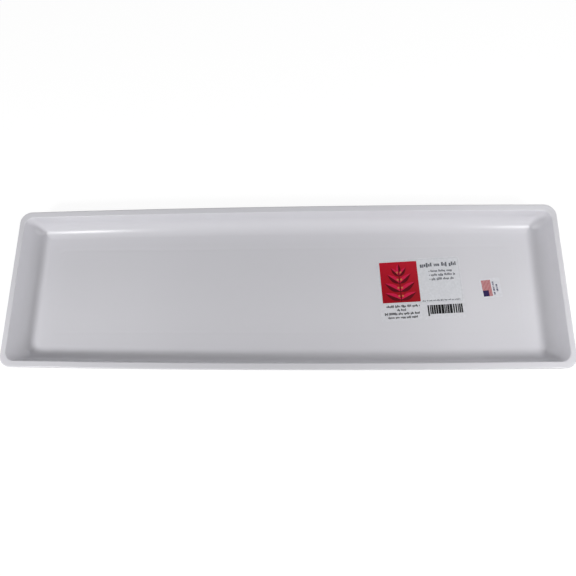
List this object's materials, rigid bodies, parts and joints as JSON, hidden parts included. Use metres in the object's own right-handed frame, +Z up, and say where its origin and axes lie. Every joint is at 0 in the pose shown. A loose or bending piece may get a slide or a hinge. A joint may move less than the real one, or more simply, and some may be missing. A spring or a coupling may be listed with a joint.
{
  "type": "window box tray",
  "caption": "Long shallow white plastic drip tray for a window box, with leaning walls, a coved floor, a rolled lip and a low foot ring under it.",
  "frame": {"origin": "middle of the tray on the surface that it stands on, under the foot ring", "axes": "+X along the tray's length towards the end with the stickers, +Y across its width, +Z up out of its open mouth"},
  "size_m": [0.61, 0.1832, 0.0298],
  "materials": {
    "white_plastic": "semi-gloss white polypropylene, moulded",
    "label_film": "printed white film label",
    "sticker_film": "printed white film sticker"
  },
  "bodies": {
    "root": {"tray": "white_plastic", "product_label": "label_film", "origin_sticker": "sticker_film"}
  },
  "joints": []
}
